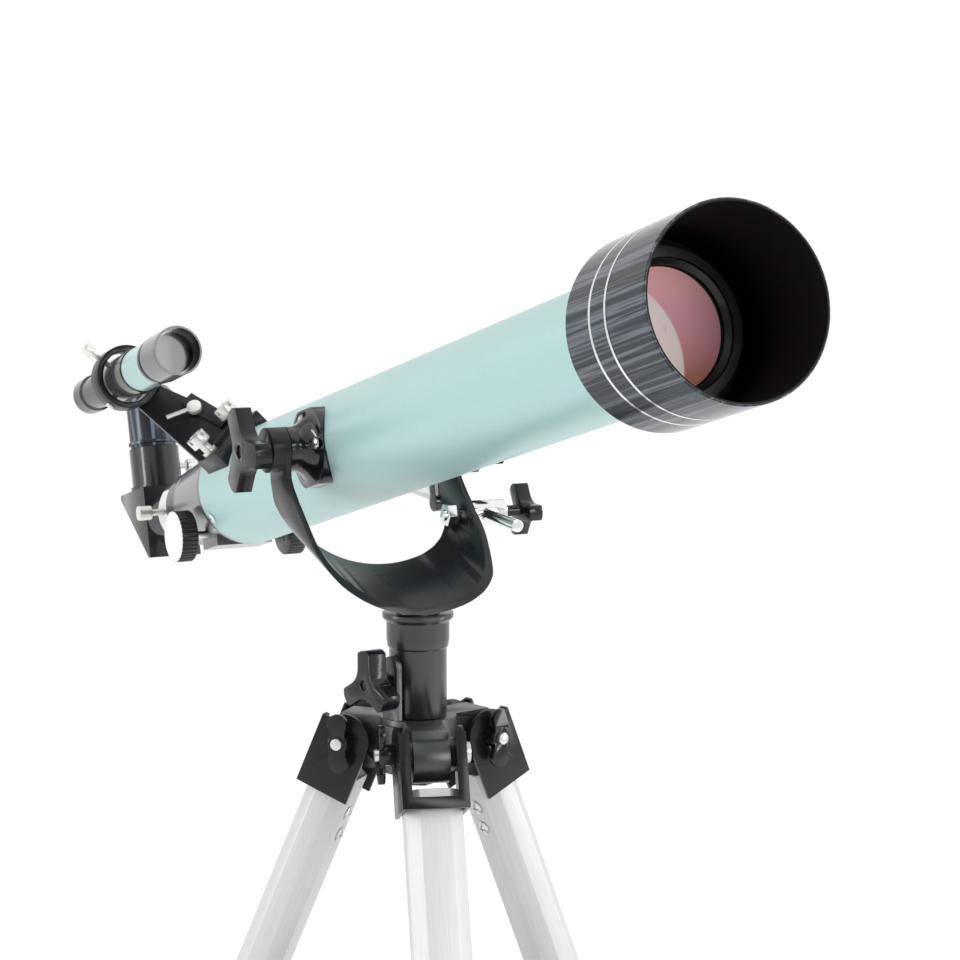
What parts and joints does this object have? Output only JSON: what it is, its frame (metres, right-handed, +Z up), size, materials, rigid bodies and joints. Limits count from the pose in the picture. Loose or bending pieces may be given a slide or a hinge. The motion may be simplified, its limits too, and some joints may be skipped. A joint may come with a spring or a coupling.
{
  "type": "telescope on tripod",
  "caption": "Refractor telescope with diagonal eyepiece and finder scope, carried in a tilting yoke on a folding tripod with extending legs and an accessory tray.",
  "frame": {"origin": "on the floor, on the azimuth axis, midway between the feet", "axes": "+Z up, +X the way the telescope looks, +Y to its left side where the slow-motion rod is"},
  "size_m": [0.7668, 0.4645, 0.8182],
  "materials": {
    "mount_black": "satin",
    "knob_black": "gloss",
    "leg_aluminium": "satin",
    "inner_aluminium": "satin",
    "bolt_steel": "satin",
    "clamp_plastic": "satin",
    "foot_rubber": "matt",
    "spreader_plastic": "satin",
    "chrome_steel": "polished",
    "tube_paint": "metallic gloss",
    "trim_black": "satin",
    "shield_black": "gloss",
    "coated_glass": "coated",
    "focuser_grey": "satin",
    "focus_black": "gloss",
    "diagonal_black": "gloss",
    "finder_paint": "satin"
  },
  "bodies": {
    "stand": {"tripod_head": "mount_black"},
    "azimuth_lock": {"azimuth_knob": "knob_black"},
    "mount": {"yoke_post": "mount_black", "yoke": "mount_black"},
    "leg_1": {"leg_bracket_1": "mount_black", "upper_leg_1": "leg_aluminium", "leg_fasteners_1": "bolt_steel", "leg_clamp_1": "clamp_plastic"},
    "hinge_nut_1": {"wing_nut_1": "knob_black"},
    "leg_lock_1": {"clamp_screw_1": "knob_black"},
    "leg_end_1": {"lower_leg_1": "inner_aluminium", "foot_1": "foot_rubber"},
    "spreader_arm_1": {"brace_1": "spreader_plastic"},
    "leg_2": {"leg_bracket_2": "mount_black", "upper_leg_2": "leg_aluminium", "leg_fasteners_2": "bolt_steel", "leg_clamp_2": "clamp_plastic"},
    "hinge_nut_2": {"wing_nut_2": "knob_black"},
    "leg_lock_2": {"clamp_screw_2": "knob_black"},
    "leg_end_2": {"lower_leg_2": "inner_aluminium", "foot_2": "foot_rubber"},
    "spreader_arm_2": {"brace_2": "spreader_plastic"},
    "leg_3": {"leg_bracket_3": "mount_black", "upper_leg_3": "leg_aluminium", "leg_fasteners_3": "bolt_steel", "leg_clamp_3": "clamp_plastic"},
    "hinge_nut_3": {"wing_nut_3": "knob_black"},
    "leg_lock_3": {"clamp_screw_3": "knob_black"},
    "leg_end_3": {"lower_leg_3": "inner_aluminium", "foot_3": "foot_rubber"},
    "spreader_arm_3": {"brace_3": "spreader_plastic"},
    "spreader": {"brace_hub": "spreader_plastic", "tray": "spreader_plastic"},
    "tray_lock": {"tray_nut": "knob_black"},
    "telescope": {"saddle_left": "knob_black", "saddle_right": "knob_black", "main_tube": "tube_paint", "tube_screws": "trim_black", "objective_cell": "trim_black", "objective_lens": "coated_glass", "dew_shield": "shield_black", "shield_bands": "chrome_steel", "focuser_body": "focuser_grey", "finder_bracket": "trim_black", "finder_screws": "chrome_steel", "finder_tube": "finder_paint"},
    "swivel": {"rod_swivel": "chrome_steel"},
    "slow_motion_rod": {"rod": "chrome_steel"},
    "rod_lock": {"rod_knob": "knob_black"},
    "altitude_lock_left": {"altitude_knob_left": "knob_black"},
    "altitude_lock_right": {"altitude_knob_right": "knob_black"},
    "focus_pinion": {"focus_shaft": "chrome_steel", "focus_knob_left": "focus_black", "focus_knob_right": "focus_black"},
    "focus_tube": {"drawtube": "chrome_steel"},
    "focus_tube_lock": {"drawtube_screw": "chrome_steel"},
    "diagonal": {"diagonal_body": "diagonal_black"},
    "diagonal_lock": {"diagonal_screw": "chrome_steel"},
    "ocular": {"eyepiece": "diagonal_black"},
    "finder_ocular": {"finder_eyepiece": "diagonal_black"}
  },
  "joints": [
    {"name": "azimuth", "type": "hinge", "parent": "stand", "child": "mount", "pos_m": [0, 0, 0.589], "axis": [0, 0, 1], "continuous": true},
    {"name": "azimuth_lock_turn", "type": "hinge", "parent": "stand", "child": "azimuth_lock", "pos_m": [0.00501, -0.01936, 0.554], "axis": [0.2504, -0.9681, 0], "continuous": true},
    {"name": "leg_1_fold", "type": "hinge", "parent": "stand", "child": "leg_1", "pos_m": [0.03373, -0.00935, 0.521], "axis": [0.2672, 0.9636, 0], "range_deg": [0, 16]},
    {"name": "hinge_nut_1_turn", "type": "hinge", "parent": "leg_1", "child": "hinge_nut_1", "pos_m": [0.03373, -0.00935, 0.521], "axis": [0.2672, 0.9636, 0], "continuous": true},
    {"name": "leg_lock_1_turn", "type": "hinge", "parent": "leg_1", "child": "leg_lock_1", "pos_m": [0.1561, -0.04329, 0.22184], "axis": [0.887, -0.246, 0.3907], "continuous": true},
    {"name": "leg_1_extend", "type": "slide", "parent": "leg_1", "child": "leg_end_1", "axis": [0.3765, -0.1044, -0.9205], "range_m": [0, 0.2]},
    {"name": "spreader_arm_1_turn", "type": "hinge", "parent": "leg_1", "child": "spreader_arm_1", "pos_m": [0.12628, -0.03502, 0.23586], "axis": [0.2672, 0.9636, 0], "range_deg": [0, 25.1]},
    {"name": "leg_2_fold", "type": "hinge", "parent": "stand", "child": "leg_2", "pos_m": [-0.00876, 0.03388, 0.521], "axis": [-0.9681, -0.2504, 0], "range_deg": [0, 16]},
    {"name": "hinge_nut_2_turn", "type": "hinge", "parent": "leg_2", "child": "hinge_nut_2", "pos_m": [-0.00876, 0.03388, 0.521], "axis": [-0.9681, -0.2504, 0], "continuous": true},
    {"name": "leg_lock_2_turn", "type": "hinge", "parent": "leg_2", "child": "leg_lock_2", "pos_m": [-0.04056, 0.15683, 0.22184], "axis": [-0.2305, 0.8912, 0.3907], "continuous": true},
    {"name": "leg_2_extend", "type": "slide", "parent": "leg_2", "child": "leg_end_2", "axis": [-0.0978, 0.3783, -0.9205], "range_m": [0, 0.2]},
    {"name": "spreader_arm_2_turn", "type": "hinge", "parent": "leg_2", "child": "spreader_arm_2", "pos_m": [-0.03281, 0.12687, 0.23586], "axis": [-0.9681, -0.2504, 0], "range_deg": [0, 25.1]},
    {"name": "leg_3_fold", "type": "hinge", "parent": "stand", "child": "leg_3", "pos_m": [-0.02496, -0.02453, 0.521], "axis": [0.7009, -0.7133, 0], "range_deg": [0, 16]},
    {"name": "hinge_nut_3_turn", "type": "hinge", "parent": "leg_3", "child": "hinge_nut_3", "pos_m": [-0.02496, -0.02453, 0.521], "axis": [0.7009, -0.7133, 0], "continuous": true},
    {"name": "leg_lock_3_turn", "type": "hinge", "parent": "leg_3", "child": "leg_lock_3", "pos_m": [-0.11554, -0.11354, 0.22184], "axis": [-0.6566, -0.6452, 0.3907], "continuous": true},
    {"name": "leg_3_extend", "type": "slide", "parent": "leg_3", "child": "leg_end_3", "axis": [-0.2787, -0.2739, -0.9205], "range_m": [0, 0.2]},
    {"name": "spreader_arm_3_turn", "type": "hinge", "parent": "leg_3", "child": "spreader_arm_3", "pos_m": [-0.09347, -0.09185, 0.23586], "axis": [0.7009, -0.7133, 0], "range_deg": [0, 25.1]},
    {"name": "spreader_lift", "type": "slide", "parent": "stand", "child": "spreader", "axis": [0, 0, 1], "range_m": [0, 0.0367]},
    {"name": "tray_lock_turn", "type": "hinge", "parent": "spreader", "child": "tray_lock", "pos_m": [0, 0, 0.34369], "axis": [0, 0, 1], "continuous": true},
    {"name": "altitude", "type": "hinge", "parent": "mount", "child": "telescope", "pos_m": [-0.068, 0, 0.668], "axis": [0, -1, 0], "range_deg": [-25, 30]},
    {"name": "swivel_turn", "type": "hinge", "parent": "mount", "child": "swivel", "pos_m": [-0.049, 0, 0.63], "axis": [0, -1, 0], "range_deg": [-12.5, 15]},
    {"name": "rod_anchor_turn", "type": "hinge", "parent": "telescope", "child": "slow_motion_rod", "pos_m": [-0.08896, 0.06, 0.63105], "axis": [0, -1, 0], "range_deg": [-15, 12.5]},
    {"name": "rod_lock_turn", "type": "hinge", "parent": "swivel", "child": "rod_lock", "pos_m": [-0.049, 0.075, 0.63], "axis": [0, 1, 0], "continuous": true},
    {"name": "altitude_lock_left_turn", "type": "hinge", "parent": "telescope", "child": "altitude_lock_left", "pos_m": [-0.068, -0.06, 0.668], "axis": [0, 1, 0], "continuous": true},
    {"name": "altitude_lock_right_turn", "type": "hinge", "parent": "telescope", "child": "altitude_lock_right", "pos_m": [-0.068, 0.06, 0.668], "axis": [0, 1, 0], "continuous": true},
    {"name": "focus_travel", "type": "slide", "parent": "telescope", "child": "focus_tube", "axis": [-0.9659, 0, -0.2588], "range_m": [0, 0.06]},
    {"name": "focus_turn", "type": "hinge", "parent": "telescope", "child": "focus_pinion", "pos_m": [-0.25936, 0, 0.59395], "axis": [0, 1, 0], "range_deg": [-983, 0]},
    {"name": "focus_tube_lock_turn", "type": "hinge", "parent": "focus_tube", "child": "focus_tube_lock", "pos_m": [-0.32783, -0.03, 0.59838], "axis": [0, -1, 0], "continuous": true},
    {"name": "diagonal_turn", "type": "hinge", "parent": "focus_tube", "child": "diagonal", "pos_m": [-0.36937, 0, 0.58725], "axis": [0.9659, 0, 0.2588], "continuous": true},
    {"name": "diagonal_lock_turn", "type": "hinge", "parent": "diagonal", "child": "diagonal_lock", "pos_m": [-0.39775, 0.02, 0.61588], "axis": [0, 1, 0], "continuous": true},
    {"name": "eyepiece_pull", "type": "slide", "parent": "diagonal", "child": "ocular", "axis": [-0.2588, 0, 0.9659], "range_m": [0, 0.02]},
    {"name": "finder_focus_turn", "type": "hinge", "parent": "telescope", "child": "finder_ocular", "pos_m": [-0.31824, -0.06295, 0.67461], "axis": [0.9659, 0, 0.2588], "continuous": true}
  ],
  "couplings": [
    {"joint": "spreader_arm_1_turn", "follows": "leg_1_fold", "ratio": 1.5546},
    {"joint": "leg_2_fold", "follows": "leg_1_fold", "ratio": 1},
    {"joint": "spreader_arm_2_turn", "follows": "leg_1_fold", "ratio": 1.5546},
    {"joint": "leg_3_fold", "follows": "leg_1_fold", "ratio": 1},
    {"joint": "spreader_arm_3_turn", "follows": "leg_1_fold", "ratio": 1.5546},
    {"joint": "spreader_lift", "follows": "leg_1_fold", "m_per_rad": 0.13061},
    {"joint": "swivel_turn", "follows": "altitude", "ratio": 0.5},
    {"joint": "rod_anchor_turn", "follows": "altitude", "ratio": -0.5},
    {"joint": "focus_turn", "follows": "focus_travel", "rad_per_m": -285.71}
  ]
}
